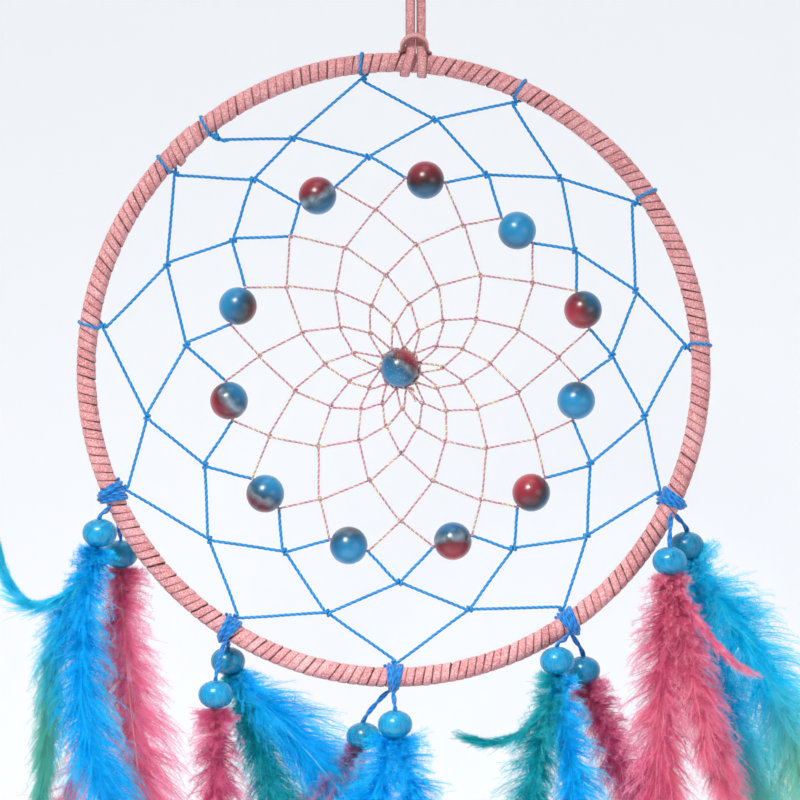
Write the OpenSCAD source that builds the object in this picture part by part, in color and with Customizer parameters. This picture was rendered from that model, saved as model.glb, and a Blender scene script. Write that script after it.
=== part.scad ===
// Dream catcher: a suede-wrapped hoop with a knotted web, hung from a lace loop, with five pairs of
// feather drops. Origin: inside top of the hanging loop, where the hook goes. +Z up, front faces -Y.

/* [Hoop] */
// Outer diameter of the wrapped hoop
hoop_d = 200.2; // [196:0.2:206]
// Diameter of the steel wire inside the wrap
ring_d = 3.2; // [2.8:0.1:3.4]
// Thickness of the suede lace
lace_t = 1.5; // [1.3:0.1:1.7]
// Width of the suede lace
lace_w = 3; // [2.8:0.1:3.2]
// How far the hoop's centre hangs to the left of the hook
hoop_shift = 7; // [4:0.5:10]

/* [Hanger] */
// Height of the hook's seat above the top of the hoop
hang_drop = 92; // [86:1:98]
// Distance between the two runs of lace just above the hoop
run_gap = 3.4; // [3.2:0.1:3.8]

/* [Web] */
// Diameter of the waxed cord in the outer rounds
cord_d = 1; // [0.8:0.1:1.2]
// Diameter of the spun thread in the inner rounds
thread_d = 0.7; // [0.5:0.1:0.8]
// Diameter of a web bead
bead_d = 12; // [10:0.5:13]
// Number of the first hitch that carries a bead
first_bead = 35; // [35]
// Number of hitches in the whole web, counting the turns on the hoop
hitches = 113; // [104:1:116]

/* [Drops] */
// Diameter of a wooden drop bead
drop_d = 10.9; // [10:0.1:11.4]
// Height of a wooden drop bead between its flats
drop_h = 8.7; // [8:0.1:9]
// Diameter of the yarn that a drop hangs on
yarn_d = 1.6; // [1.2:0.1:1.8]
// Distance of the front and rear drops from the plane of the web
drop_y = 8; // [8:0.5:9]
// Thickness of a feather
feather_t = 1.6; // [1:0.1:2]

/* [Hidden] */
tube_r = ring_d / 2 + lace_t;
hoop_r = hoop_d / 2 - tube_r;
hoop_z = -hang_drop - hoop_d / 2;
turn_clear = 0.25;
end_gap = 0.3;
web_y = 0.6;
joined = 0.02;

// Angles of the web's twelve turns on the hoop, clockwise from the start knot
anchors = [127.3, 95.7, 65.5, 34.5, 4.4, -25.1, -55.1, -90, -122.7, -156.4, -188.7, -222.2];
// Where each hitch of the first round sits along its stretch of cord
slips = [0.43, 0.49, 0.52, 0.54, 0.5, 0.52, 0.5, 0.47, 0.44, 0.4, 0.48];
// The same for each hitch that carries a bead, and how far it is drawn towards the middle
bead_slips = [0.45, 0.5, 0.51, 0.53, 0.46, 0.54, 0.47, 0.5, 0.48, 0.49, 0.48];
bead_draws = [0.87, 0.93, 0.89, 0.94, 0.87, 0.88, 0.88, 0.89, 0.88, 0.84, 0.85];
// How far each round of hitches is drawn towards the middle of the web
draws = [[0, 0.89], [1, 0.88], [3, 0.88], [4, 0.79], [5, 0.75], [6, 0.74], [7, 0.66], [8, 0.82]];
web_middle = [2.9, -0.4];
// The centre bead's place, and the rim that the last round is drawn tight on
centre_spot = [2, 0.6];
rim_r = bead_d / 2 + 0.9;
per_round = 11.4;
web_r = hoop_r - tube_r - cord_d / 2 - turn_clear;

// The five ties, from left to right, use anchors 9, 8, 7, 6 and 5
tie_anchors = [9, 8, 7, 6, 5];
tie_w = 5.5;
tie_r = tube_r + 1.3;
// Bead centres below their ties: [[front x, front z], [rear x, rear z]]
bead_spots = [
    [[-3.5, -12.5], [2.5, -19.5]],
    [[-3.5, -20.5], [0, -10.5]],
    [[0.5, -14.5], [-9.5, -19]],
    [[-4, -12], [4.5, -15.5]],
    [[-1, -19], [5, -14.5]],
];
// Feathers of each drop: [lean to the right in degrees, length, width, bow]
feather_sets = [
    [[[-3, 98, 15, 2], [-13, 92, 12, -3]], [[9, 92, 14, 3]]],
    [[[1, 98, 15, 2]], [[40, 40, 11, 2], [11, 74, 11, -2]]],
    [[[-1, 100, 15, -2], [8, 88, 12, 2]], [[-11, 84, 12, 2]]],
    [[[-4, 96, 14, -2], [5, 90, 13, 2]], [[17, 88, 13, 3]]],
    [[[1, 96, 14, 2], [12, 74, 10, 2]], [[31, 82, 13, 4], [16, 98, 12, -2]]],
];
bind_d = 3.4;
bind_h = 5;

function unit(v) = v / norm(v);
function polar(r, a) = [r * cos(a), r * sin(a)];
function flat_to_web(p, y) = [p[0], y, p[1]];

// Hitches of the web in its own plane: each one halves an older stretch and draws it inwards
function has_bead(k) = k >= first_bead && k < first_bead + 11;
function draw(k) = has_bead(k) ? bead_draws[k - first_bead] : lookup((k - 12) / per_round - 0.5, draws);
function slip(k) = has_bead(k) ? bead_slips[k - first_bead] : k < 23 ? slips[k - 12] : 0.5;
function hitch(p, k) = let (from = p[k - 12], to = p[k - 11],
    drawn = web_middle + draw(k) * (from + slip(k) * (to - from) - web_middle))
    k < hitches - 11 ? drawn : centre_spot + rim_r * unit(drawn - centre_spot);
function weave(p) = len(p) >= hitches ? p : weave(concat(p, [hitch(p, len(p))]));
web = weave([for (a = anchors) polar(web_r, a)]);

// One turn of cord round the hoop at angle a, from the front of the inside to its back
turn_r = tube_r + cord_d / 2 + turn_clear;
overlap_a = 129.6;
overlap_span = 5.6;
overlap_t = 0.42;
function on_overlap(a) = let (b = (a + 360) % 360) b > overlap_a && b < overlap_a + overlap_span;
function on_hoop(a, r, turn, along) = let (out = hoop_r + r * cos(turn))
    [out * cos(a) - along * sin(a), -r * sin(turn), out * sin(a) + along * cos(a)];
function hoop_turn(a) = let (r = turn_r + (on_overlap(a) ? overlap_t : 0))
    [for (turn = [150:-30:-150]) on_hoop(a, r, turn, turn / 120)];

// The cord's route: every hitch lies in front of the stretch that it holds
function visit(k) = k < 12 ? hoop_turn(anchors[k]) : [flat_to_web(web[k], -web_y)];
function held(k) = k + 12 < hitches ? [flat_to_web(web[k + 12], web_y)] : [];
function route(from, to) = [for (k = [from:to], p = concat(visit(k), k < to ? held(k) : [])) p];

// A round tube swept along the points p
function heading(p, i) = let (n = len(p) - 1)
    i == 0 ? unit(p[1] - p[0]) :
    i == n ? unit(p[n] - p[n - 1]) :
    unit(unit(p[i + 1] - p[i]) + unit(p[i] - p[i - 1]));
function square_to(v, t) = unit(v - (v * t) * t);
function carried(p, n = []) = let (i = len(n))
    i == len(p) ? n : carried(p, concat(n, [square_to(i == 0 ? [0.2, 1, 0.1] : n[i - 1], heading(p, i))]));
function hoop_of(p, n, t, r, sides) = let (b = cross(t, n))
    [for (k = [0:sides - 1]) p + r * (cos(360 * k / sides) * n + sin(360 * k / sides) * b)];

module tube(p, d, sides) {
    n = carried(p);
    last = len(p) - 1;
    polyhedron(
        points = [for (i = [0:last], v = hoop_of(p[i], n[i], heading(p, i), d / 2, sides)) v],
        faces = concat(
            [[for (k = [0:sides - 1]) k]],
            [for (i = [0:last - 1], k = [0:sides - 1])
                [i * sides + k, (i + 1) * sides + k,
                 (i + 1) * sides + (k + 1) % sides, i * sides + (k + 1) % sides]],
            [[for (k = [sides - 1:-1:0]) last * sides + k]]
        ),
        convexity = 20
    );
}

module at_hoop() {
    translate([-hoop_shift, 0, hoop_z]) children();
}

// Stands a child at angle a of the hoop: its +X points outwards, its +Z runs along the hoop
module on_hoop_at(a) {
    at_hoop() rotate([0, -a, 0]) translate([hoop_r, 0, 0]) children();
}

module ring_section(r_in, r_out, w) {
    difference() {
        cylinder(r = r_out, h = w, center = true, $fn = 48);
        cylinder(r = r_in, h = w + 1, center = true, $fn = 48);
    }
}

module bored_ball(d, bore) {
    difference() {
        sphere(d = d, $fn = 64);
        cylinder(d = bore, h = 2 * d, center = true, $fn = 32);
    }
}

// Steel wire bent to a ring and welded
module hoop_ring() {
    color("silver") at_hoop() rotate([90, 0, 0])
        rotate_extrude($fn = 180) translate([hoop_r, 0]) circle(d = ring_d, $fn = 32);
}

// Suede lace wound edge to edge on the ring
module suede_wrap() {
    color("lightcoral") at_hoop() rotate([90, 0, 0])
        rotate_extrude($fn = 180) translate([hoop_r, 0]) difference() {
            circle(r = tube_r, $fn = 48);
            circle(d = ring_d, $fn = 32);
        }
}

// Where the lace's start and end lie over each other
module lace_overlap() {
    color("indianred") at_hoop() rotate([90, 0, 0]) rotate([0, 0, overlap_a])
        rotate_extrude(angle = overlap_span, $fn = 180) translate([hoop_r, 0]) difference() {
            circle(r = tube_r + overlap_t, $fn = 48);
            circle(r = tube_r, $fn = 48);
        }
}

// Both runs of the hanging loop, from the hoop up over the hook and down again
run_x = run_gap / 2;
loop_low = -85;
loop_up = [[run_x, loop_low], [run_x, -70], [run_x, -55], [2.3, -42], [3.6, -30], [5.1, -19], [6, -10]];
bend_r = 6;
bend_top = lace_t / 2 + joined;
loop_bend = [for (a = [0:30:180]) polar(bend_r, a) + [0, bend_top - bend_r]];
loop_down = [for (i = [len(loop_up) - 1:-1:0]) [-loop_up[i][0], loop_up[i][1]]];
module hanger_loop() {
    route_xz = concat(loop_up, loop_bend, loop_down);
    color("lightcoral") tube([for (p = route_xz) flat_to_web(p, 0)], lace_w, 8);
}

// Knot that closes the loop over the hook, with the lace's two tails
knot_d = 7.6;
tail_l = 14;
tail_lean = 14;
module hanger_knot() {
    color("lightcoral") translate([0, 0, lace_t + knot_d / 2 + joined]) {
        sphere(d = knot_d, $fn = 48);
        for (lean = [-tail_lean, tail_lean])
            rotate([0, lean, 0]) translate([0, 0, tail_l / 2]) cube([lace_w, lace_t, tail_l], center = true);
    }
}

// Lark's head of lace round the hoop: two bands, the bight over them and the stubs of the two runs
hitch_a = acos(hoop_shift / hoop_r);
band_w = 3.4;
band_spots = [-3.7, 1.8];
bight_r = 4;
bight_z = hoop_z + 101.2;
stub_h = 6;
module hanger_hitch() {
    color("indianred") {
        for (x = band_spots)
            on_hoop_at(hitch_a) translate([0, 0, -x])
                ring_section(tube_r + joined, tube_r + lace_t, band_w);
        translate([-0.9, -1.8, bight_z]) rotate([90, 0, 0])
            rotate_extrude(angle = 180, $fn = 64) translate([bight_r, 0])
                square([lace_w, lace_t], center = true);
        for (x = [-run_x, run_x])
            translate([x, 0, loop_low - end_gap - stub_h / 2])
                cube([lace_w, lace_t, stub_h], center = true);
    }
}

// Waxed cord of the outer rounds, from the start knot to the first bead
module web_cord() {
    color("deepskyblue") at_hoop() tube(route(0, first_bead), cord_d, 6);
}

// Spun thread of the inner rounds, from the first bead to the centre bead
module web_thread() {
    spun = concat(route(first_bead, hitches - 1), [flat_to_web(centre_spot, -web_y)]);
    color("pink") at_hoop() tube(spun, thread_d, 6);
}

// Knot that starts the web, with its short tail
module web_start_knot() {
    color("deepskyblue") on_hoop_at(anchors[0]) translate([-tube_r - 1.45, -2.4, 0]) {
        sphere(d = 2.2, $fn = 32);
        rotate([0, 14, 0]) cylinder(d = 0.9, h = 3.4, $fn = 24);
    }
}

// Web bead n, threaded on the hitch that it hides; its bore lies along the web's round
module web_bead(n) {
    spot = web[first_bead + n - 1];
    aim = atan2(spot[1] - web_middle[1], spot[0] - web_middle[0]);
    color(n % 2 == 0 ? "firebrick" : "teal") at_hoop() translate(flat_to_web(spot, -web_y))
        rotate([0, -aim, 0]) bored_ball(bead_d, 2);
}

module centre_bead() {
    color("steelblue") at_hoop() translate(flat_to_web(centre_spot, -web_y)) rotate([0, 90, 0])
        bored_ball(bead_d, 2);
}

// Knot that ends the thread just below the centre bead
module centre_knot() {
    color("rosybrown") at_hoop() translate([centre_spot[0] + 3.6, -web_y, centre_spot[1] - 7])
        sphere(d = 2.6, $fn = 32);
}

// Yarn wound on the hoop over the web's turn, which holds a pair of drops
module tie_wrap(i) {
    color("royalblue") on_hoop_at(anchors[tie_anchors[i - 1]])
        ring_section(tube_r + joined, tie_r, tie_w);
}

// A drop: i is its tie, s is 0 for the front one and 1 for the rear one
function tie_spot(i) = polar(hoop_r, anchors[tie_anchors[i - 1]]) + [-hoop_shift, hoop_z];
function bead_spot(i, s) = tie_spot(i) + bead_spots[i - 1][s];
function side_y(s) = s == 0 ? -1 : 1;
string_y = tie_r + yarn_d / 2 + end_gap;

// Yarn from the tie to the bead; it swings sideways about the tie
module drop_string(i, s) {
    top = tie_spot(i);
    foot = bead_spot(i, s) + [0, drop_h / 2 + end_gap];
    run = flat_to_web(foot, side_y(s) * drop_y) - flat_to_web(top, side_y(s) * string_y);
    start = flat_to_web(top, side_y(s) * string_y);
    color("royalblue") tube([for (t = [0, 0.35, 0.7, 1]) start + t * run], yarn_d, 8);
}

module drop_bead(i, s) {
    color("steelblue") translate(flat_to_web(bead_spot(i, s), side_y(s) * drop_y))
        difference() {
            intersection() {
                sphere(d = drop_d, $fn = 64);
                cube([2 * drop_d, 2 * drop_d, drop_h], center = true);
            }
            cylinder(d = 2.6, h = 2 * drop_h, center = true, $fn = 32);
        }
}

// Outline of a feather that hangs down from its quill
function half_width(t, w) = w / 2 * pow(sin(180 * pow(t, 0.7)), 0.8);
module feather(length, w, bow, steps = 12) {
    left = [for (i = [0:steps]) let (t = i / steps) [bow * sin(180 * t) - half_width(t, w), -length * t]];
    right = [for (i = [steps - 1:-1:1]) let (t = i / steps) [bow * sin(180 * t) + half_width(t, w), -length * t]];
    rotate([90, 0, 0]) linear_extrude(feather_t, center = true) polygon(concat(left, right));
}

// The quills bound together with yarn under the bead, and the feathers themselves, one behind the other
layer_step = feather_t + end_gap;
module feathers(i, s) {
    kinds = feather_sets[i - 1][s];
    color(s == 0 ? "dodgerblue" : "palevioletred")
        translate(flat_to_web(bead_spot(i, s) - [0, drop_h / 2], side_y(s) * drop_y)) {
            translate([0, 0, -bind_h]) cylinder(d = bind_d, h = bind_h - joined, $fn = 32);
            for (j = [0:len(kinds) - 1])
                translate([0, side_y(s) * layer_step * j, -bind_h - end_gap])
                    rotate([0, -kinds[j][0], 0]) feather(kinds[j][1], kinds[j][2], kinds[j][3]);
        }
}

hoop_ring();
suede_wrap();
lace_overlap();
hanger_loop();
hanger_knot();
hanger_hitch();
web_cord();
web_thread();
web_start_knot();
centre_bead();
centre_knot();
for (i = [1:11])
    web_bead(i);
for (i = [1:5])
    tie_wrap(i);
for (i = [1:5], s = [0, 1])
    drop_string(i, s);
for (i = [1:5], s = [0, 1])
    drop_bead(i, s);
for (i = [1:5], s = [0, 1])
    feathers(i, s);
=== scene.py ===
import math
import bpy
import numpy as np
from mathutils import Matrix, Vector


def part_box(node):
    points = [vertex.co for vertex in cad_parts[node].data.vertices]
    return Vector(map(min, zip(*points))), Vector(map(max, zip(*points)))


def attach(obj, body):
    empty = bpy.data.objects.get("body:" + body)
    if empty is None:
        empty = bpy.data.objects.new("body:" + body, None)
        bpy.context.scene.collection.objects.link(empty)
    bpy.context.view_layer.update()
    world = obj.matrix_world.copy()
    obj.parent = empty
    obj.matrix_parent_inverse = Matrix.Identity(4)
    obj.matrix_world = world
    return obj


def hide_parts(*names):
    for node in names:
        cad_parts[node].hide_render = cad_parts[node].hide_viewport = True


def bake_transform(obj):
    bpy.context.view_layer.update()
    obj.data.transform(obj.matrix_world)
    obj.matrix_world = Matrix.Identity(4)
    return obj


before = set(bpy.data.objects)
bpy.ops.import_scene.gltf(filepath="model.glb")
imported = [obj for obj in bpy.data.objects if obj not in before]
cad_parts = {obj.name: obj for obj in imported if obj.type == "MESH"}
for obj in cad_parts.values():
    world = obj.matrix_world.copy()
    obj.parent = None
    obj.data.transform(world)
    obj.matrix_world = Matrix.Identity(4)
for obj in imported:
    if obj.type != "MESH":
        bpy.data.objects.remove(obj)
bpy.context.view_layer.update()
scene = bpy.context.scene
mm = 0.001


def toLinear(hexColour):
    # sRGB hex to the linear values that shaders take
    parts = [int(hexColour[i:i + 2], 16) / 255 for i in (1, 3, 5)]
    return tuple(c / 12.92 if c <= 0.04045 else ((c + 0.055) / 1.055) ** 2.4 for c in parts) + (1,)


def addNode(tree, kind, inputs=(), stops=(), **settings):
    # inputs: socket -> value, or the output or node that feeds it; stops: (place, colour) of a ramp
    node = tree.nodes.new("ShaderNode" + kind)
    for key, value in settings.items():
        setattr(node, key, value)
    for i, (place, colour) in enumerate(stops):
        ramp = node.color_ramp.elements
        stop = ramp[i] if i < 2 else ramp.new(place)
        stop.position = place
        stop.color = toLinear(colour)
    for key, value in dict(inputs).items():
        if isinstance(value, bpy.types.Node):
            value = value.outputs[0]
        if isinstance(value, bpy.types.NodeSocket):
            tree.links.new(value, node.inputs[key])
        else:
            node.inputs[key].default_value = value
    return node


def startMaterial(name):
    material = bpy.data.materials.new(name)
    material.use_nodes = True
    material.node_tree.nodes.clear()
    return material, material.node_tree


def endMaterial(tree, shader):
    addNode(tree, "OutputMaterial", {"Surface": shader})


def readValue(tree, name):
    return addNode(tree, "Attribute", attribute_name=name).outputs["Fac"]


def mixColours(tree, share, first, second):
    return addNode(tree, "Mix", {0: share, 6: first, 7: second}, data_type="RGBA").outputs[2]


def makePiece(name, parts, material, body, stands=()):
    # parts: (points in mm, list of face arrays, values by name); all become one mesh
    points = np.concatenate([p[0] for p in parts]) * mm
    shift = np.cumsum([0] + [len(p[0]) for p in parts])
    faces = [f + shift[i] for i, p in enumerate(parts) for f in p[1] if len(f)]
    mesh = bpy.data.meshes.new(name)
    mesh.vertices.add(len(points))
    mesh.vertices.foreach_set("co", points.astype(np.float32).ravel())
    corners = np.concatenate([f.ravel() for f in faces]).astype(np.int32)
    counts = np.concatenate([np.full(len(f), f.shape[1]) for f in faces])
    mesh.loops.add(len(corners))
    mesh.loops.foreach_set("vertex_index", corners)
    mesh.polygons.add(len(counts))
    mesh.polygons.foreach_set("loop_start", (np.cumsum(counts) - counts).astype(np.int32))
    mesh.polygons.foreach_set("use_smooth", np.full(len(counts), True))
    mesh.update(calc_edges=True)
    for key in parts[0][2]:
        values = np.concatenate([np.asarray(p[2][key], float).ravel() for p in parts])
        mesh.attributes.new(key, "FLOAT", "POINT").data.foreach_set("value", values.astype(np.float32))
    mesh.materials.append(material)
    piece = bpy.data.objects.new(name, mesh)
    scene.collection.objects.link(piece)
    if isinstance(body, str):
        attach(piece, body)
    else:
        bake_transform(piece)
    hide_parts(*stands)
    return piece


def unit(v):
    return v / np.maximum(np.linalg.norm(v, axis=-1, keepdims=True), 1e-9)


def evenSteps(line, step):
    # the same line with points every step
    far = np.concatenate([[0], np.cumsum(np.linalg.norm(np.diff(line, axis=0), axis=1))])
    count = max(2, int(round(far[-1] / step)) + 1)
    places = np.linspace(0, far[-1], count)
    return np.stack([np.interp(places, far, line[:, i]) for i in range(line.shape[1])], 1)


def smoothLine(points, step):
    # centripetal Catmull-Rom curve through the points; columns past the third ride along
    p = np.asarray(points, float)
    p = np.vstack([2 * p[0] - p[1], p, 2 * p[-1] - p[-2]])
    line = []
    for a, b, c, d in zip(p[:-3], p[1:-2], p[2:-1], p[3:]):
        gaps = [max(np.linalg.norm((y - x)[:3]), 1e-6) ** 0.5 for x, y in ((a, b), (b, c), (c, d))]
        ta, tb = 0, gaps[0]
        tc, td = tb + gaps[1], tb + gaps[1] + gaps[2]
        t = np.linspace(tb, tc, max(3, int(gaps[1] ** 2 / step * 1.5)), endpoint=False)[:, None]
        ab = (tb - t) / (tb - ta) * a + (t - ta) / (tb - ta) * b
        bc = (tc - t) / (tc - tb) * b + (t - tb) / (tc - tb) * c
        cd = (td - t) / (td - tc) * c + (t - tc) / (td - tc) * d
        abc = (tc - t) / (tc - ta) * ab + (t - ta) / (tc - ta) * bc
        bcd = (td - t) / (td - tb) * bc + (t - tb) / (td - tb) * cd
        line.append((tc - t) / (tc - tb) * abc + (t - tb) / (tc - tb) * bcd)
    return evenSteps(np.vstack(line + [p[-2]]), step)


def sidesOf(line, faceOut=None):
    # heading and two directions across it: carried along without twist, or square to faceOut
    heading = unit(np.gradient(line, axis=0))
    if faceOut is not None:
        across = unit(np.cross(heading, faceOut))
        return heading, across, np.cross(across, heading)
    across = np.zeros_like(line)
    last = np.cross(heading[0], [0.3, 0.9, 0.2])
    for i, way in enumerate(heading):
        last = last - way * (last @ way)
        last = last / np.linalg.norm(last)
        across[i] = last
    return heading, across, np.cross(heading, across)


def gridFaces(rows, columns, closed):
    # quads between rows of points, with the last column joined to the first where closed
    r = np.arange(rows - 1)[:, None] * columns
    c = np.arange(columns if closed else columns - 1)[None, :]
    n = (c + 1) % columns
    return np.stack([r + c, r + n, r + columns + n, r + columns + c], -1).reshape(-1, 4)


def spunCord(line, width, plies, layLength, sides, depth):
    # a twisted cord: its lobes are the plies, one full twist every layLength mm
    heading, across, up = sidesOf(line)
    far = np.concatenate([[0], np.cumsum(np.linalg.norm(np.diff(line, axis=0), axis=1))])
    turn = np.linspace(0, 2 * np.pi, sides, endpoint=False)[None, :]
    lobe = np.abs(np.cos((turn - 2 * np.pi * far[:, None] / layLength) * plies / 2))
    radius = width / 2 * (1 - depth + depth * lobe)
    points = line[:, None] + radius[..., None] * (
        np.cos(turn)[..., None] * across[:, None] + np.sin(turn)[..., None] * up[:, None])
    ends = [np.arange(sides)[None, ::-1], (len(line) - 1) * sides + np.arange(sides)[None, :]]
    first = 0.5 + 0.5 * np.cos(turn - 2 * np.pi * far[:, None] / layLength)
    values = {"along": np.repeat(far, sides) * mm, "ply": lobe, "firstPly": first}
    return points.reshape(-1, 3), [gridFaces(len(line), sides, True)] + ends, values


def laceStrip(line, faceOut, width, thick, tint):
    # flat lace with soft cut edges; faceOut is the way that its nap side looks
    heading, across, up = sidesOf(line, faceOut)
    turn = np.linspace(0, 2 * np.pi, 16, endpoint=False)
    x = np.sign(np.cos(turn)) * np.abs(np.cos(turn)) ** 0.45 * width / 2
    y = np.sign(np.sin(turn)) * np.abs(np.sin(turn)) ** 0.6 * thick / 2
    y = y * (1 - 0.22 * (2 * x / width) ** 2)
    points = line[:, None] + x[None, :, None] * across[:, None] + y[None, :, None] * up[:, None]
    ends = [np.arange(16)[None, ::-1], (len(line) - 1) * 16 + np.arange(16)[None, :]]
    edge = np.broadcast_to(np.clip(np.abs(2 * x / width) * 1.15 - 0.25, 0, 1) ** 3, points.shape[:2])
    return points.reshape(-1, 3), [gridFaces(len(line), 16, True)] + ends, {
        "edge": edge, "turn": np.full(points.shape[:2], tint)}


def turned(profile, sides, centre, axis):
    # a profile of (radius, height) turned round an axis; it closes on itself through the bore
    axis = unit(np.array(axis, float))
    a = unit(np.cross(axis, [0.31, 0.95, 0.12]))
    b = np.cross(axis, a)
    turn = np.linspace(0, 2 * np.pi, sides, endpoint=False)
    rings = np.array(profile)
    points = np.array(centre) + rings[:, None, 1:] * axis + rings[:, None, :1] * (
        np.cos(turn)[None, :, None] * a + np.sin(turn)[None, :, None] * b)
    faces = gridFaces(len(rings), sides, True)
    join = gridFaces(2, sides, True)
    join = np.where(join >= sides, join - sides, join + (len(rings) - 1) * sides)
    return points.reshape(-1, 3), [faces, join]


# Camera straight in front of the web, square to it
cameraView = {"across": -4.95, "height": -201.6, "distance": 2400, "width": 252.4}
camera = bpy.data.objects.new("camera", bpy.data.cameras.new("camera"))
scene.collection.objects.link(camera)
camera.location = (cameraView["across"] * mm, -cameraView["distance"] * mm, cameraView["height"] * mm)
camera.rotation_euler = (math.pi / 2, 0, 0)
camera.data.sensor_width = 36
camera.data.lens = 36 * cameraView["distance"] / cameraView["width"]
camera.data.clip_start = 0.01
scene.camera = camera
print("camera ready")


# Dyed suede lace, split hide with a brushed nap: matt, a little light caught on the nap, darker cut edges
# with painted shade where they dip into the grooves between turns
suedeTones = {"worn": "#e6aeae", "lit": "#da9293", "deep": "#b2686a", "cutEdgeAndGrooveShade": "#4a1a1c",
              "fleck": "#f6d4d2"}


def suedeLace():
    material, tree = startMaterial("dyedSuedeLace")
    place = addNode(tree, "TexCoord").outputs["Object"]
    edge = readValue(tree, "edge")
    turn = readValue(tree, "turn")
    # the nap lies in brushed patches of about 3 mm
    patches = addNode(tree, "TexNoise", {"Vector": place, "Scale": 320, "Detail": 4, "Roughness": 0.65})
    # fibre ends, really about 0.1 mm, drawn at 0.35 mm so that they show
    fibres = addNode(tree, "TexNoise", {"Vector": place, "Scale": 1900, "Detail": 3, "Roughness": 0.85})
    lift = addNode(tree, "Math", {0: patches, 1: 0.55}, operation="MULTIPLY")
    lift = addNode(tree, "Math", {0: turn, 1: 0.45, 2: lift}, operation="MULTIPLY_ADD")
    nap = addNode(tree, "ValToRGB", {"Fac": lift},
                  [(0.22, suedeTones["deep"]), (0.5, suedeTones["lit"]), (0.72, suedeTones["worn"])])
    speck = addNode(tree, "MapRange", {"Value": fibres, "From Min": 0.52, "From Max": 0.66,
                                        "To Max": 0.9})
    flecked = mixColours(tree, speck, nap, toLinear(suedeTones["fleck"]))
    pit = addNode(tree, "MapRange", {"Value": fibres, "From Min": 0.48, "From Max": 0.36,
                                     "To Max": 0.85})
    pitted = mixColours(tree, pit, flecked, toLinear(suedeTones["deep"]))
    # the edge mask darkens the lace's sides: partly the real darker cut edge, partly painted shade in the
    # grooves between turns
    rim = mixColours(tree, edge, pitted, toLinear(suedeTones["cutEdgeAndGrooveShade"]))
    bump = addNode(tree, "Bump", {"Height": fibres, "Strength": 0.5, "Distance": 0.00025})
    endMaterial(tree, addNode(tree, "BsdfPrincipled", {
        "Base Color": rim, "Roughness": 0.92, "Specular IOR Level": 0.2, "Sheen Weight": 0.35,
        "Sheen Roughness": 0.5, "Sheen Tint": toLinear("#ffd9d0"), "Normal": bump}))
    return material


suede = suedeLace()

# Hanging loop: one lace up over the hook and down again, flat to the wall at the bottom and turned flat
# on the hook at the top. The route is the same as the part's
hangingLoop = {"width": 3.05, "thick": 1.4, "bendRadius": 6, "top": 0.77, "turnFrom": -52, "turnTo": -18,
               "run": [(1.7, -85), (1.7, -70), (1.7, -55), (2.3, -42), (3.6, -30), (5.1, -19), (6, -10)]}


def buildHangingLoop():
    run = [(x, 0.0, z) for x, z in hangingLoop["run"]]
    r, top = hangingLoop["bendRadius"], hangingLoop["top"]
    bend = [(r * math.cos(a), 0.0, top - r + r * math.sin(a)) for a in np.radians(range(0, 181, 30))]
    route = run + bend + [(-x, y, z) for x, y, z in run[::-1]]
    line = smoothLine(route, 0.8)
    heading = unit(np.gradient(line, axis=0))
    low, high = hangingLoop["turnFrom"], hangingLoop["turnTo"]
    share = np.clip((line[:, 2] - low) / (high - low), 0, 1)
    quarter = share * share * (3 - 2 * share) * np.pi / 2
    flat = np.cross(heading, [0, 1, 0])
    faceOut = np.cos(quarter)[:, None] * np.array([0, -1, 0]) + np.sin(quarter)[:, None] * flat
    # the two strands don't hang quite flat, so each shows a little of its edge
    lean = np.where(line[:, 0] > 0, 0.5, -0.18)[:, None] * (1 - share)[:, None]
    faceOut = unit(faceOut + lean * np.array([1, 0, 0]))
    strip = laceStrip(line, faceOut, hangingLoop["width"], hangingLoop["thick"], 0.55)
    loop = makePiece("hanging_loop", [strip], suede,
                     ("hanger", "hoop", (0, 0, -0.03), (0, 0, -0.084)), ["hanger_loop"])


buildHangingLoop()

# Overhand knot that closes the loop, drawn up tight, with the two ends left long
loopKnot = {"size": 1.18, "tails": 13, "spread": 3.4, "width": 2.9, "thick": 1.3}


def buildLoopKnot():
    low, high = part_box("hanger_knot")
    middle = np.array([0, 0, low.z / mm + 3.8])
    t = np.radians(np.linspace(35, 325, 26))
    knot = np.stack([np.sin(t) + 2 * np.sin(2 * t), -np.sin(3 * t) * 1.3,
                     -(np.cos(t) - 2 * np.cos(2 * t))], 1) * loopKnot["size"] + middle
    top = middle[2] + loopKnot["tails"]
    s = loopKnot["spread"]
    first = [(s * 1.05, -0.6, top), (s * 0.8, -1.2, top - 4.5), (s * 0.55, -0.8, top - 8)]
    last = [(-s * 0.6, 0.9, top - 8.5), (-s * 0.85, 0.6, top - 4.5), (-s * 1.1, -0.4, top + 0.4)]
    if knot[0][0] < knot[-1][0]:
        knot = knot[::-1]
    line = smoothLine(np.vstack([first, knot, last]), 0.5)
    heading = unit(np.gradient(line, axis=0))
    outward = unit(line - middle) + np.array([0, -0.4, 0])
    faceOut = unit(outward - heading * np.sum(outward * heading, 1, keepdims=True))
    strip = laceStrip(line, faceOut, loopKnot["width"], loopKnot["thick"], 0.5)
    makePiece("loop_knot", [strip], suede, "hanger", ["hanger_knot"])


buildLoopKnot()
print("hanger ready")


# Hoop, measured from the steel ring and the wrap of the frame
ringLow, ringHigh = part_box("hoop_ring")
wrapLow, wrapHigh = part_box("suede_wrap")
hoopMiddle = np.array([(ringLow.x + ringHigh.x) / 2, 0, (ringLow.z + ringHigh.z) / 2]) / mm
tubeRadius = (wrapHigh.y - wrapLow.y) / 2 / mm
hoopRadius = (wrapHigh.x - wrapLow.x) / 2 / mm - tubeRadius


def onHoop(angle, radius, turn):
    # a point round the tube: turn 0 faces outwards, a quarter turn faces the front
    out = hoopRadius + radius * np.cos(turn)
    return hoopMiddle + np.stack([out * np.cos(angle), -radius * np.sin(turn), out * np.sin(angle)], -1)


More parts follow.
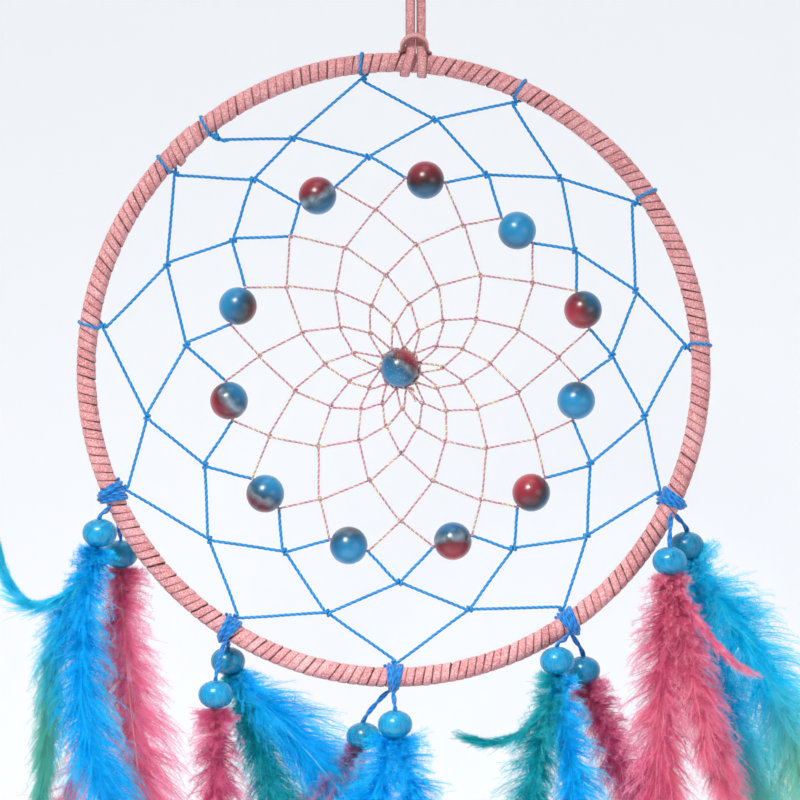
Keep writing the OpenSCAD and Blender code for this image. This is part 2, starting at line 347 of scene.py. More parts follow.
# Lace wound edge to edge, its start covered by the last turns
wrap = {"pitch": 2.8, "width": 2.9, "startAngle": 129.6, "overlap": 5.6, "lift": 0.42, "ringsPerTurn": 30,
        "slant": 0.75, "slantDrift": 0.34, "seed": 11}


def buildWrap():
    rng = np.random.default_rng(wrap["seed"])
    perTurn = wrap["ringsPerTurn"]
    turns = 2 * math.pi * hoopRadius / wrap["pitch"] * (1 + wrap["overlap"] / 360)
    count = int(turns * perTurn)
    turn = np.arange(count) / perTurn
    psi = 2 * np.pi * turn + np.pi
    knots = int(turns) + 3

    def drift(spread):
        # one seeded value for each turn, eased into the next
        values = rng.normal(0, spread, knots)
        return np.interp(turn, np.arange(knots), values)

    slow = np.interp(turn, np.linspace(0, knots, 24), rng.normal(0, wrap["slantDrift"], 24))
    slant = wrap["slant"] + slow + drift(0.1)
    share = (turn / turns) * (1 + wrap["overlap"] / 360)
    angle = np.radians(wrap["startAngle"]) + 2 * np.pi * share
    centre = angle + (slant * np.sin(psi - np.pi / 2) + drift(0.13)) / hoopRadius
    late = np.clip((share - 1) / (wrap["overlap"] / 360), 0, 1)
    lifted = np.interp(late, [0, 0.12, 0.8, 1], [0, 1, 1, 0.9]) * wrap["lift"]
    lifted = lifted + np.interp(turn, [turns - 0.3, turns], [0, 0.9])
    # section of the lace, crowned by its tension
    across = np.array([-0.5, -0.5, -0.465, -0.4, -0.24, 0, 0.24, 0.4, 0.465, 0.5, 0.5]) * wrap["width"]
    height = np.array([-1.2, -0.7, -0.26, -0.07, -0.01, 0, -0.01, -0.07, -0.26, -0.7, -1.2])
    wide = 1 + drift(0.035)[:, None]
    tip = across[None, :] * wide
    ragged = rng.normal(0, 0.035, (count, 11)) * (np.abs(across) > 1.2)
    bow = 0.05 * np.sin(psi)[:, None]
    radius = tubeRadius + drift(0.04)[:, None] + lifted[:, None] + height[None, :] + bow
    radius = radius + rng.normal(0, 0.012, (count, 11))
    # one edge of each turn rides a little on its neighbour
    radius = radius + (0.1 + drift(0.09)[:, None]) * across[None, :] / wrap["width"]
    points = onHoop(centre[:, None] + (tip + ragged) / hoopRadius, radius, psi[:, None])
    # the edges of each turn are darkened: partly the real cut edge, partly painted shade in the groove
    # between turns
    edge = np.array([1, 1, 0.85, 0.14, 0, 0, 0, 0.14, 0.85, 1, 1])
    tint = np.clip(0.5 + drift(0.16), 0, 1)
    values = {"edge": np.broadcast_to(edge, (count, 11)), "turn": np.broadcast_to(tint[:, None], (count, 11))}
    ends = [np.arange(11)[None, ::-1], (count - 1) * 11 + np.arange(11)[None, :]]
    part = (points.reshape(-1, 3), [gridFaces(count, 11, False)] + ends, values)
    makePiece("suede_lace_wrap", [part], suede, "hoop", ["suede_wrap", "lace_overlap"])
    print("wrap with", int(turns), "turns")


buildWrap()

# Lark's head: the two runs come down behind the arch, over the front of the hoop and round under it, and
# the arch joins them from behind over the top
larksHead = {"width": 3.05, "thick": 1.4, "runs": (-1.7, 1.7), "feet": (-3.4, 2.3), "arch": (-4.3, 3.5),
             "archHeight": 8.2}


def buildLarksHead():
    r = tubeRadius + larksHead["thick"] / 2 + 0.12
    topZ = hoopMiddle[2] + hoopRadius
    sides = []
    for side, lean in ((0, -0.18), (1, 0.5)):
        run, foot, back = larksHead["runs"][side], larksHead["feet"][side], larksHead["arch"][side]
        # each row is a place and the way that the nap looks
        found = [[run, 0, topZ + 10.6, lean, -1, 0], [run * 0.96, -0.2, topZ + 8.6, lean, -1, 0],
                 [run * 0.92, -1.1, topZ + 5.8, lean * 0.4, -1, 0.3]]
        for turn in (42, 68, 95, 120, 145, 180, 225, 270, 310, 338):
            spot = np.interp(turn, [42, 160, 225, 338], [run * 0.98, foot, foot, back * 0.93])
            angle = math.acos((spot - hoopMiddle[0]) / hoopRadius)
            p = onHoop(angle, r, math.radians(turn))
            found.append([*p, *(onHoop(angle, r + 1, math.radians(turn)) - p)])
        sides.append(found)
    left, right = larksHead["arch"]
    middle, top = (left + right) / 2, topZ + larksHead["archHeight"]
    arch = [[left, -1.2, topZ + 4.4, -1, -0.3, 0.3], [left + 0.6, -2.8, top - 1.8, -0.8, -0.5, 0.6],
            [middle - 1.8, -3.8, top - 0.5, -0.35, -0.6, 0.9], [middle, -4.1, top, 0, -0.6, 1],
            [middle + 1.8, -3.8, top - 0.5, 0.35, -0.6, 0.9], [right - 0.6, -2.8, top - 1.8, 0.8, -0.5, 0.6],
            [right, -1.2, topZ + 4.4, 1, -0.3, 0.3]]
    line = smoothLine(sides[0] + arch + sides[1][::-1], 0.35)
    piece = laceStrip(line[:, :3], unit(line[:, 3:]), larksHead["width"], larksHead["thick"], 0.55)
    makePiece("larks_head_hitch", [piece], suede, "hoop", ["hanger_hitch"])


buildLarksHead()


# Drawn steel wire, welded to a ring: fine lengthwise drawing lines and a dull shine
def drawnSteel():
    material, tree = startMaterial("drawnSteelWire")
    place = addNode(tree, "TexCoord").outputs["Object"]
    lines = addNode(tree, "TexNoise", {"Vector": place, "Scale": 900, "Detail": 4})
    rough = addNode(tree, "MapRange", {"Value": lines, "To Min": 0.3, "To Max": 0.5})
    tone = addNode(tree, "ValToRGB", {"Fac": lines}, [(0.3, "#8f9296"), (0.7, "#c3c6ca")])
    endMaterial(tree, addNode(tree, "BsdfPrincipled", {
        "Base Color": tone, "Metallic": 1.0, "Roughness": rough}))
    return material


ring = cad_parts["hoop_ring"]
ring.data.materials.clear()
ring.data.materials.append(drawnSteel())
print("hoop ready")


# Waxed polyester cord, three plies twisted hard, with a soft shine: painted shade in the grooves between the
# plies and a narrow painted highlight on each ply's crest
def waxedCord():
    material, tree = startMaterial("waxedTwistedCord")
    place = addNode(tree, "TexCoord").outputs["Object"]
    ply = readValue(tree, "ply")
    smear = addNode(tree, "TexNoise", {"Vector": place, "Scale": 500, "Detail": 3})
    # painted shade and highlight: the ramp runs from dark in the grooves between the plies to light on their
    # crests
    tone = addNode(tree, "ValToRGB", {"Fac": ply}, [(0.15, "#042f60"), (0.6, "#0478c0"), (0.95, "#12a6ea")])
    patchy = mixColours(tree, smear, tone, toLinear("#0484c8"))
    rough = addNode(tree, "MapRange", {"Value": smear, "To Min": 0.34, "To Max": 0.6})
    endMaterial(tree, addNode(tree, "BsdfPrincipled", {
        "Base Color": patchy, "Roughness": rough, "IOR": 1.45, "Sheen Weight": 0.1}))
    return material


# Spun cotton thread, two plies dyed in stretches, pink to cream and grey to rose: matt, a little hairy, with
# painted shade between the plies
def spaceDyedThread():
    material, tree = startMaterial("spaceDyedCottonThread")
    along = readValue(tree, "along")
    ply = readValue(tree, "ply")
    # the dye changes every 5 to 10 mm
    step = addNode(tree, "TexNoise", {"W": along, "Scale": 130, "Detail": 2, "Roughness": 0.6},
                   noise_dimensions="1D")
    tone = addNode(tree, "ValToRGB", {"Fac": step},
                   [(0.34, "#f0b0ba"), (0.46, "#f29ca8"), (0.56, "#f6c8bc"), (0.66, "#f8e6c0")])
    # the second ply is dyed apart, grey to rose
    other = addNode(tree, "ValToRGB", {"Fac": step},
                    [(0.36, "#85828a"), (0.48, "#b06c80"), (0.56, "#a09088"), (0.66, "#c4ac80")])
    firstPly = readValue(tree, "firstPly")
    which = addNode(tree, "MapRange", {"Value": firstPly, "From Min": 0.4, "From Max": 0.6})
    plies = mixColours(tree, which, other, tone)
    # painted shade: the grooves between the plies are darkened
    shade = mixColours(tree, ply, toLinear("#a0747e"), plies)
    endMaterial(tree, addNode(tree, "BsdfPrincipled", {
        "Base Color": shade, "Roughness": 0.85, "Sheen Weight": 0.3, "Specular IOR Level": 0.3}))
    return material


# The web: twelve turns on the hoop, then every hitch halves an older stretch and is drawn inwards
web = {"anchors": [127.3, 95.7, 65.5, 34.5, 4.4, -25.1, -55.1, -90, -122.7, -156.4, -188.7, -222.2],
       "slips": [0.43, 0.49, 0.52, 0.54, 0.5, 0.52, 0.5, 0.47, 0.44, 0.4, 0.48],
       "beadSlips": [0.45, 0.5, 0.51, 0.53, 0.46, 0.54, 0.47, 0.5, 0.48, 0.49, 0.48],
       "beadDraws": [0.87, 0.93, 0.89, 0.94, 0.87, 0.88, 0.88, 0.89, 0.88, 0.84, 0.85],
       "drawPlaces": [0, 1, 3, 4, 5, 6, 7, 8], "draws": [0.89, 0.88, 0.88, 0.79, 0.75, 0.74, 0.66, 0.82],
       "middle": (2.9, -0.4), "perRound": 11.4, "hitches": 113, "firstBead": 35, "beads": 11,
       "cordWidth": 1.05, "cordStep": 0.36, "cordLay": 5.4, "threadWidth": 0.72, "threadStep": 0.22,
       "threadLay": 1.7, "centre": (2, 0.6), "rim": 6.45, "seed": 5}
webRadius = hoopRadius - tubeRadius - 0.75
webMiddle = np.array(web["middle"])
webCentre = np.array(web["centre"])
knotsFlat = [webRadius * np.array([math.cos(a), math.sin(a)]) for a in np.radians(web["anchors"])]
for k in range(12, web["hitches"]):
    slip = web["slips"][k - 12] if k < 23 else 0.5
    draw = np.interp((k - 12) / web["perRound"] - 0.5, web["drawPlaces"], web["draws"])
    bead = k - web["firstBead"]
    if 0 <= bead < web["beads"]:
        slip, draw = web["beadSlips"][bead], web["beadDraws"][bead]
    onStretch = knotsFlat[k - 12] + slip * (knotsFlat[k - 11] - knotsFlat[k - 12])
    drawn = webMiddle + draw * (onStretch - webMiddle)
    if k >= web["hitches"] - 11:
        # the last round is drawn tight on the rim of the centre bead
        drawn = webCentre + web["rim"] * (drawn - webCentre) / np.linalg.norm(drawn - webCentre)
    knotsFlat.append(drawn)


def inWeb(p, y):
    # a point of the web's own plane, y behind it, in the part's frame
    return hoopMiddle + np.array([p[0], y, p[1]])


def isBead(k):
    return web["firstBead"] <= k < web["firstBead"] + web["beads"]


def hoopTurn(k):
    # from the inside over the front and round behind, then once over the cord itself
    angle = math.radians(web["anchors"][k])
    past = web["anchors"][k] % 360 - wrap["startAngle"]
    raised = wrap["lift"] if 0 < past < wrap["overlap"] else 0
    points = [inWeb(knotsFlat[k], -0.3)]
    for turn in range(150, -151, -25):
        slide = 1.25 * turn / 145 / hoopRadius
        points.append(onHoop(angle + slide, tubeRadius + 0.36 + raised, math.radians(turn)))
    inward = -np.array([math.cos(angle), math.sin(angle)])
    aside = np.array([-inward[1], inward[0]])
    overItself = ((0.5, -0.25, 0.8), (0.9, 0.45, 0), (1.1, 0.3, -0.85), (1.35, -0.45, -0.6), (1.7, -0.2, 0.1))
    for deep, side, y in overItself:
        points.append(inWeb(knotsFlat[k] + deep * inward + side * aside, y))
    return points


def hitchTurn(k, width):
    # a half hitch: over the held stretch, behind it and forward across itself
    held = unit(knotsFlat[k - 11] - knotsFlat[k - 12])
    out = unit(knotsFlat[k] - webMiddle)
    out = unit(out - held * (out @ held))
    r = width * 0.92
    points = []
    for turn in range(-40, 420, 46):
        a = math.radians(turn)
        slide = (turn - 190) / 230 * width * 0.75
        y = 0.45 - r * math.cos(a)
        points.append(inWeb(knotsFlat[k] + held * slide + out * r * math.sin(a) * 0.9, y))
    return points


def throughBore(spot, along, y):
    # straight through a bead, from just outside its bore to just outside it again
    return [inWeb(spot + along * s, y) for s in (-6.3, -3, 0, 3, 6.3)]


def throughBead(k, y):
    # the bore lies along the web's round
    out = unit(knotsFlat[k] - webMiddle)
    return throughBore(knotsFlat[k], np.array([out[1], -out[0]]), y)


def webLine(first, last, width, rng, tail=()):
    # every hitch from first to last in turn, each stretch held behind by the hitch that will hang on it
    groups = []
    for k in range(first, last + 1):
        if k < 12:
            groups.append(hoopTurn(k))
        elif isBead(k):
            groups.append(throughBead(k, -0.85))
        else:
            groups.append(hitchTurn(k, width))
        if k < last and k + 12 < web["hitches"]:
            heldKnot = k + 12
            if isBead(heldKnot):
                groups.append(throughBead(heldKnot, -0.35))
            else:
                groups.append([inWeb(knotsFlat[heldKnot], 0.45)])
    if tail:
        groups.append(tail)
    # points just off each end of a stretch keep it straight between the knots
    points = list(groups[0])
    for group in groups[1:]:
        a, b = points[-1], group[0]
        gap = np.linalg.norm(b - a)
        if gap > 3:
            way = (b - a) / gap
            for s in (0.9, gap * 0.33, gap * 0.66, gap - 0.9):
                points.append(a + way * s + rng.normal(0, width * 0.05, 3))
        points += group
    return np.array(points)


def buildWeb():
    rng = np.random.default_rng(web["seed"])
    cordLine = smoothLine(webLine(0, web["firstBead"], web["cordWidth"], rng), web["cordStep"])
    cord = spunCord(cordLine, web["cordWidth"], 3, web["cordLay"], 12, 0.42)
    makePiece("waxed_web_cord", [cord], waxedCord(), "hoop", ["web_cord"])
    print("web cord", round(len(cordLine) * web["cordStep"] * mm, 2), "m")
    # the thread ends through the centre bead and round its rim to the knot
    ends = throughBore(webCentre, np.array([1, 0]), -0.6)
    for a in (-0.3, -0.6, -0.9):
        ends.append(inWeb(webCentre + (web["rim"] + 0.05) * np.array([math.cos(a), math.sin(a)]), -1.0))
    rounds = webLine(web["firstBead"], web["hitches"] - 1, web["threadWidth"], rng, ends)
    threadLine = smoothLine(rounds, web["threadStep"])
    thread = spunCord(threadLine, web["threadWidth"], 2, web["threadLay"], 8, 0.3)
    makePiece("spun_web_thread", [thread], spaceDyedThread(), "hoop", ["web_thread"])
    print("web thread", round(len(threadLine) * web["threadStep"] * mm, 2), "m")


buildWeb()


def barrelKnot(centre, along, out, width, turns, length, tail):
    # cord wound round itself and drawn tight, with its end left free
    along, out = unit(np.array(along, float)), unit(np.array(out, float))
    third = np.cross(along, out)
    points = []
    steps = int(turns * 10)
    for i in range(steps + 1):
        a = 2 * math.pi * turns * i / steps
        r = width * (0.62 + 0.25 * math.sin(math.pi * i / steps))
        shift = (i / steps - 0.5) * length
        points.append(np.array(centre) + along * shift + r * (math.cos(a) * out + math.sin(a) * third))
    for step in tail:
        points.append(points[-1] + np.array(step))
    return smoothLine(points, 0.25)


cordMaterial = bpy.data.materials["waxedTwistedCord"]
threadMaterial = bpy.data.materials["spaceDyedCottonThread"]


# The start knot is drawn tight, so it is a little thinner than the cord
webKnots = {"start": {"along": [0.75, -0.1, -0.65], "cord": 1.0, "lay": 3.6, "wound": 1.0, "turns": 2.6,
                      "tail": [(0.9, -0.3, -0.9), (1.0, 0.1, -0.35), (1.0, 0.1, 0.3), (0.8, 0, 0.25)]},
            "end": {"along": [0.5, 0, -0.85], "cord": 0.72, "lay": 1.7, "wound": 0.75, "turns": 3.2,
                    "tail": [(0.5, -0.2, -0.8), (0.5, 0, -0.9), (0.2, 0.1, -0.9)]}, "length": 1.9}


def buildWebKnots():
    angle = math.radians(web["anchors"][0])
    inward = -np.array([math.cos(angle), 0, math.sin(angle)])
    low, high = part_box("centre_knot")
    places = {"start": onHoop(angle, tubeRadius + 0.9, math.radians(150)) + inward * 0.9,
              "end": np.array((low + high) / 2) / mm}
    for name, plies, sides, material, slot, node in (
            ("start", 3, 12, cordMaterial, "waxed_cord", "web_start_knot"),
            ("end", 2, 8, threadMaterial, "spun_thread", "centre_knot")):
        row = webKnots[name]
        line = barrelKnot(places[name], row["along"], [0, -1, 0], row["wound"], row["turns"],
                          webKnots["length"], row["tail"])
        knot = spunCord(line, row["cord"], plies, row["lay"], sides, 0.3)
        makePiece(f"{name}_knot", [knot], material, "hoop", [node])


buildWebKnots()
print("web ready")


# Pressed glass, two colours stirred while soft: a smooth, softly shining skin over cloudy swirls
def swirledGlass(name, flecked):
    material, tree = startMaterial(name)
    place = addNode(tree, "TexCoord").outputs["Object"]
    split = readValue(tree, "split")
    cloudy = readValue(tree, "cloud")
    # swirls of 6 to 8 mm, pulled out by the stirring
    swirl = addNode(tree, "TexNoise", {"Vector": place, "Scale": 95, "Detail": 2, "Roughness": 0.45,
                                       "Distortion": 0.6})
    push = addNode(tree, "Math", {0: swirl, 1: 1.3, 2: -0.65}, operation="MULTIPLY_ADD")
    level = addNode(tree, "Math", {0: split, 1: push}, operation="ADD")
    spread = addNode(tree, "MapRange", {"Value": level, "From Min": -1.2, "From Max": 1.2})
    tone = addNode(tree, "ValToRGB", {"Fac": spread},
                   [(0.0, "#0880b0"), (0.28, "#045c86"), (0.42, "#043a50"), (0.5, "#200c14"),
                    (0.58, "#500a18"), (0.78, "#861628"), (1.0, "#a82c3c")])
    # a pale cloud where the two colours meet
    seam = addNode(tree, "Math", {0: level}, operation="ABSOLUTE")
    pale = addNode(tree, "MapRange", {"Value": seam, "From Min": 0.34, "From Max": 0.0})
    wisps = addNode(tree, "TexNoise", {"Vector": place, "Scale": 260, "Detail": 3, "Distortion": 0.5})
    broken = addNode(tree, "MapRange", {"Value": wisps, "From Min": 0.3, "From Max": 0.6})
    veil = addNode(tree, "Math", {0: pale, 1: broken}, operation="MULTIPLY")
    veil = addNode(tree, "Math", {0: veil, 1: cloudy}, operation="MULTIPLY")
    colour = mixColours(tree, veil, tone, toLinear("#8ca8b8"))
    if flecked:
        # glitter flecks of about 0.2 mm
        specks = addNode(tree, "TexVoronoi", {"Vector": place, "Scale": 1500})
        spark = addNode(tree, "MapRange", {"Value": specks, "From Min": 0.16,
                                           "From Max": 0.08})
        colour = mixColours(tree, spark, colour, toLinear("#f3e9e2"))
    endMaterial(tree, addNode(tree, "BsdfPrincipled", {
        "Base Color": colour, "Roughness": 0.34, "IOR": 1.52, "Coat Weight": 0.5, "Coat Roughness": 0.16,
        "Coat IOR": 1.5}))
    return material


# Where the red lies on each bead: the way it faces in degrees, its share, how cloudy, how far to the front
webBeads = {"boreRadius": 1.0, "rim": 0.45, "sides": 64, "swirls": [
    (122, -0.2, 0.9, 0.2), (92, 0.05, 0.0, 0.1), (250, -1.2, 0.0, -0.3), (215, 0.1, 0.1, 0.1),
    (90, -1.3, 0.0, 0.0), (130, 0.35, 0.1, 0.2), (268, 0.0, 0.7, 0.1), (105, -0.75, 0.4, 0.0),
    (228, -0.4, 0.5, 0.1), (218, 0.0, 0.8, 0.1), (-25, -0.6, 0.1, 0.0), (55, -0.3, 0.7, 0.0)]}


def beadProfile(radius, bore, rim):
    # half section of a ball with a bore and a softened mouth
    stop = math.asin((bore + rim) / radius)
    ball = [(radius * math.sin(a), radius * math.cos(a)) for a in np.linspace(math.pi - stop, stop, 22)]
    mouth = ball[-1][1]
    lip = [(bore + rim * 0.35, mouth - rim * 0.12), (bore, mouth - rim * 0.7)]
    inside = [(bore, h) for h in np.linspace(mouth - rim * 1.6, -mouth + rim * 1.6, 6)]
    return ball + lip + inside + [(r, -h) for r, h in lip[::-1]]


def buildWebBeads():
    plain = swirledGlass("swirledPressedGlass", False)
    sparkling = swirledGlass("swirledGlassWithFlecks", True)
    for n in range(12):
        node = f"web_bead_{n + 1}" if n < 11 else "centre_bead"
        low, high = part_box(node)
        centre = np.array((low + high) / 2) / mm
        radius = (high.y - low.y) / 2 / mm
        out = centre - hoopMiddle - np.array([webMiddle[0], 0, webMiddle[1]])
        axis = [out[2], 0, -out[0]] if n < 11 else [1, 0, 0]
        profile = beadProfile(radius, webBeads["boreRadius"], webBeads["rim"])
        points, faces = turned(profile, webBeads["sides"], centre, axis)
        way, share, cloud, front = webBeads["swirls"][n]
        redWay = unit(np.array([math.cos(math.radians(way)), -front, math.sin(math.radians(way))]))
        split = (points - centre) @ redWay / radius + share
        values = {"split": split, "cloud": np.full(len(points), cloud)}
        makePiece(f"glass_bead_{n + 1}", [(points, faces, values)], plain if n < 11 else sparkling, "hoop",
                  [node])


buildWebBeads()
print("glass beads ready")


# Cotton yarn, two plies: matt and rough, its fibres in random lighter and darker streaks, with painted shade
# in the grooves between the plies
def cottonYarn():
    material, tree = startMaterial("blueCottonYarn")
    place = addNode(tree, "TexCoord").outputs["Object"]
    ply = readValue(tree, "ply")
    # fibres of 0.02 mm, drawn in streaks of 0.3 mm so that they show
    fibre = addNode(tree, "TexNoise", {"Vector": place, "Scale": 2400, "Detail": 4, "Roughness": 0.75})
    # painted shade: the grooves between the plies come out darker
    mixed = addNode(tree, "Math", {0: ply, 1: 0.45, 2: -0.05}, operation="MULTIPLY_ADD")
    mixed = addNode(tree, "Math", {0: fibre, 1: 0.75, 2: mixed},
                    operation="MULTIPLY_ADD")
    tone = addNode(tree, "ValToRGB", {"Fac": mixed},
                   [(0.2, "#05407c"), (0.5, "#0868b0"), (0.75, "#1088d8"), (0.95, "#38a8ec")])
    bump = addNode(tree, "Bump", {"Height": fibre, "Strength": 0.6, "Distance": 0.0002})
    endMaterial(tree, addNode(tree, "BsdfPrincipled", {
        "Base Color": tone, "Roughness": 0.9, "Sheen Weight": 0.35, "Specular IOR Level": 0.25,
        "Normal": bump}))
    return material


yarn = cottonYarn()

# Yarn ties: turns side by side on the hoop, then a slanting one over them
ties = {"anchors": [9, 8, 7, 6, 5], "yarn": 1.15, "turns": [6, 5, 5, 5, 5], "overTurns": 1, "drawnIn": 0.5,
        "slants": [0.3, 0.6, -0.4, 0.5, -0.3], "perTurn": 14, "seed": 21}


def buildTies():
    rng = np.random.default_rng(ties["seed"])
    for i, anchor in enumerate(ties["anchors"]):
        angle = math.radians(web["anchors"][anchor])
        turns, over, perTurn = ties["turns"][i], ties["overTurns"], ties["perTurn"]
        steps = int(turns * perTurn)
        points = []
        for k in range(steps + 1):
            t = k / steps
            # the turns lie side by side inside the hoop and are drawn together outside it
            outward = 0.5 - 0.5 * math.cos(2 * math.pi * t * turns)
            slide = (t - 0.5) * turns * ties["yarn"] * (0.98 - ties["drawnIn"] * outward)
            heap = 0.5 * ties["yarn"] * outward * (int(t * turns) % 2)
            points.append(onHoop(angle + slide / hoopRadius, tubeRadius + ties["yarn"] * 0.46 + heap +
                                 rng.normal(0, 0.03), math.radians(180) + 2 * math.pi * t * turns))
        for k in range(1, int(over * perTurn) + 1):
            t = k / (over * perTurn)
            outward = 0.5 - 0.5 * math.cos(2 * math.pi * t * over)
            slide = turns * ties["yarn"] * (0.42 - 0.7 * t) * (1 - ties["drawnIn"] * outward)
            slide = slide + ties["slants"][i] * math.sin(2 * math.pi * t * over)
            rise = 0.12 + 0.3 * math.sin(math.pi * min(1, 6 * t) / 2) + 0.45 * outward
            points.append(onHoop(angle + slide / hoopRadius, tubeRadius + ties["yarn"] * (0.5 + rise),
                                 math.radians(180) + 2 * math.pi * (turns + t * over)))
        line = smoothLine(points, 0.3)
        cord = spunCord(line, ties["yarn"], 2, 4.6, 10, 0.13)
        makePiece(f"yarn_tie_{i + 1}", [cord], yarn, "hoop", [f"tie_wrap_{i + 1}"])


buildTies()
print("ties ready")


# Turned wood under satin paint: the grain and the brush show a little in the shine
def paintedWood(name, light, middle, deep):
    material, tree = startMaterial(name)
    place = addNode(tree, "TexCoord").outputs["Object"]
    # grain lines of about 0.6 mm, drawn out upwards
    stretched = addNode(tree, "Mapping", {"Vector": place, "Scale": (1, 1, 0.3)})
    grain = addNode(tree, "TexNoise", {"Vector": stretched, "Scale": 900, "Detail": 4,
                                       "Roughness": 0.6})
    blotch = addNode(tree, "TexNoise", {"Vector": place, "Scale": 260, "Detail": 3})
    both = addNode(tree, "Math", {0: grain, 1: 0.5}, operation="MULTIPLY")
    both = addNode(tree, "Math", {0: blotch, 1: 0.5, 2: both},
                   operation="MULTIPLY_ADD")
    tone = addNode(tree, "ValToRGB", {"Fac": both}, [(0.25, deep), (0.5, middle), (0.75, light)])
    rough = addNode(tree, "MapRange", {"Value": grain, "To Min": 0.16, "To Max": 0.4})
    bump = addNode(tree, "Bump", {"Height": both, "Strength": 0.25, "Distance": 0.0003})
    endMaterial(tree, addNode(tree, "BsdfPrincipled", {
        "Base Color": tone, "Roughness": rough, "IOR": 1.48, "Coat Weight": 0.15,
        "Coat Roughness": 0.15, "Normal": bump}))
    return material


frontPaint = paintedWood("satinBluePaint", "#0aa4d4", "#048cbc", "#026a98")
# the rear beads get a darker copy of the same blue paint: painted shade for the beads that hang at the back
rearShadedPaint = paintedWood("satinBluePaintRearShade", "#0c8cb4", "#047ca4", "#026088")

dropKeys = [f"{i}{side}" for i in range(1, 6) for side in "ab"]
strings = {"yarn": 1.0, "lay": 4.6, "pairTwist": 12.0}
woodBeads = {"boreRadius": 1.3, "sides": 56, "shoulder": 0.86}


def woodProfile(radius, height, bore):
    # a ball flattened at both ends with rounded shoulders
    half = height / 2
    stop = math.asin(min(1, (bore + 0.7) / radius))
    side = [(radius * math.cos(a) ** woodBeads["shoulder"], half * math.sin(a) ** 0.96)
            for a in np.linspace(0, math.pi / 2 - stop, 16)]
    top = [(bore + 0.45, half - 0.02), (bore + 0.15, half - 0.1), (bore, half - 0.5)]
    upper = side + top
    lower = [(r, -h) for r, h in upper[:0:-1]]
    return lower + upper + [(bore, 0)]


def buildDrop(key):
    number, rear = int(key[0]), key[1] == "b"
    low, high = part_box(f"drop_bead_{key}")
    centre = np.array((low + high) / 2) / mm
    radius, height = (high.x - low.x) / 2 / mm, (high.z - low.z) / mm
    points, faces = turned(woodProfile(radius, height, woodBeads["boreRadius"]), woodBeads["sides"], centre,
                           [0, 0, 1])
    makePiece(f"wood_bead_{key}", [(points, faces, {})], rearShadedPaint if rear else frontPaint,
              f"drop_{key}", [f"drop_bead_{key}"])
    # two strands laid round each other from under the tie into the bore
    angle = math.radians(web["anchors"][ties["anchors"][number - 1]])
    tie = onHoop(angle, 0, 0)
    side = 1 if rear else -1
    top = tie + np.array([0.25 * side, side * 1.6, -(tubeRadius + 0.3)])
    foot = centre + np.array([0, 0, height / 2 - 2.2])
    mouth = centre + np.array([0, 0, height / 2 + 0.6])
    under = top + np.array([(mouth[0] - top[0]) * 0.25, side * 1.0, -1.6])
    middle = smoothLine([tie + np.array([0, side * 1.0, -(tubeRadius - 0.6)]), top, under, mouth, foot], 0.3)
    heading, across, up = sidesOf(middle)
    far = np.arange(len(middle)) * 0.3
    strands = []
    for start in (0, math.pi):
        a = start + 2 * np.pi * far / strings["pairTwist"]
        ring = np.cos(a)[:, None] * across + np.sin(a)[:, None] * up
        strand = middle + ring * strings["yarn"] * 0.36
        strands.append(spunCord(strand, strings["yarn"], 2, strings["lay"], 10, 0.13))
    makePiece(f"yarn_string_{key}", strands, yarn, f"string_{key}", [f"string_{key}"])
    return centre, height


dropPlaces = {key: buildDrop(key) for key in dropKeys}
print("drop beads and strings ready")


# Dyed feather, keratin: soft, light passes through the thin barbs, and the barbs are painted lighter towards
# their ends as a painted highlight on the wisps
def dyedFeather(name, deep, body, tip, low, lowFrom=0.8):
    # low is the shade of the lower end, from lowFrom of the way down
    material, tree = startMaterial(name)
    along = readValue(tree, "along")
    reach = readValue(tree, "reach")
    tint = readValue(tree, "tint")
    place = addNode(tree, "TexCoord").outputs["Object"]
    # uneven dye in patches of about 6 mm
    dye = addNode(tree, "TexNoise", {"Vector": place, "Scale": 170, "Detail": 3})
    level = addNode(tree, "Math", {0: tint, 1: 0.7}, operation="MULTIPLY")
    level = addNode(tree, "Math", {0: dye, 1: 0.35, 2: level},
                    operation="MULTIPLY_ADD")
    tone = addNode(tree, "ValToRGB", {"Fac": level}, [(0.15, deep), (0.5, body), (0.9, tip)])
    # painted highlight: the outer part of each barb is mixed towards the tip colour
    ends = addNode(tree, "MapRange", {"Value": reach, "From Min": 0.55, "From Max": 1.0, "To Max": 0.8})
    lighter = mixColours(tree, ends, tone, toLinear(tip))
    down = addNode(tree, "MapRange", {"Value": along, "From Min": lowFrom - 0.15, "From Max": lowFrom + 0.15})
    colour = mixColours(tree, down, lighter, toLinear(low))
    solid = addNode(tree, "BsdfPrincipled", {
        "Base Color": colour, "Roughness": 0.62, "IOR": 1.55, "Specular IOR Level": 0.08})
    thin = addNode(tree, "BsdfTranslucent", {"Color": colour})
    endMaterial(tree, addNode(tree, "MixShader", {0: 0.5, 1: solid, 2: thin}))
    return material


featherDyes = {
    "blue": dyedFeather("brightBlueDown", "#0098dc", "#00ccfc", "#3cdcff", "#20c4f4"),
    "teal": dyedFeather("tealDown", "#008c9c", "#04b4c4", "#50d8dc", "#10acb0"),
    "cyan": dyedFeather("cyanDown", "#00bce0", "#04d8f6", "#74ecfc", "#20cee4"),
    "sea": dyedFeather("seaBlueDown", "#00bce8", "#00e0fc", "#6cecfc", "#98dccc", 0.68),
    "greenEnd": dyedFeather("blueToGreenDown", "#00b0e8", "#00d0fc", "#58e0f4", "#6ccabc", 0.42),
    "pink": dyedFeather("pinkDown", "#dc5c8c", "#fa94b8", "#ffc4da", "#f4b4ca", 0.82),
    "rose": dyedFeather("roseDown", "#c04c78", "#ee789e", "#ffb8ce", "#f4a0b8", 0.85),
    "crimson": dyedFeather("crimsonDown", "#b43c70", "#dc6492", "#f8a0c0", "#d884a4", 0.85),
    "mauve": dyedFeather("mauveDown", "#a85898", "#c880b0", "#ecbcdc", "#c09cc0", 0.7)}

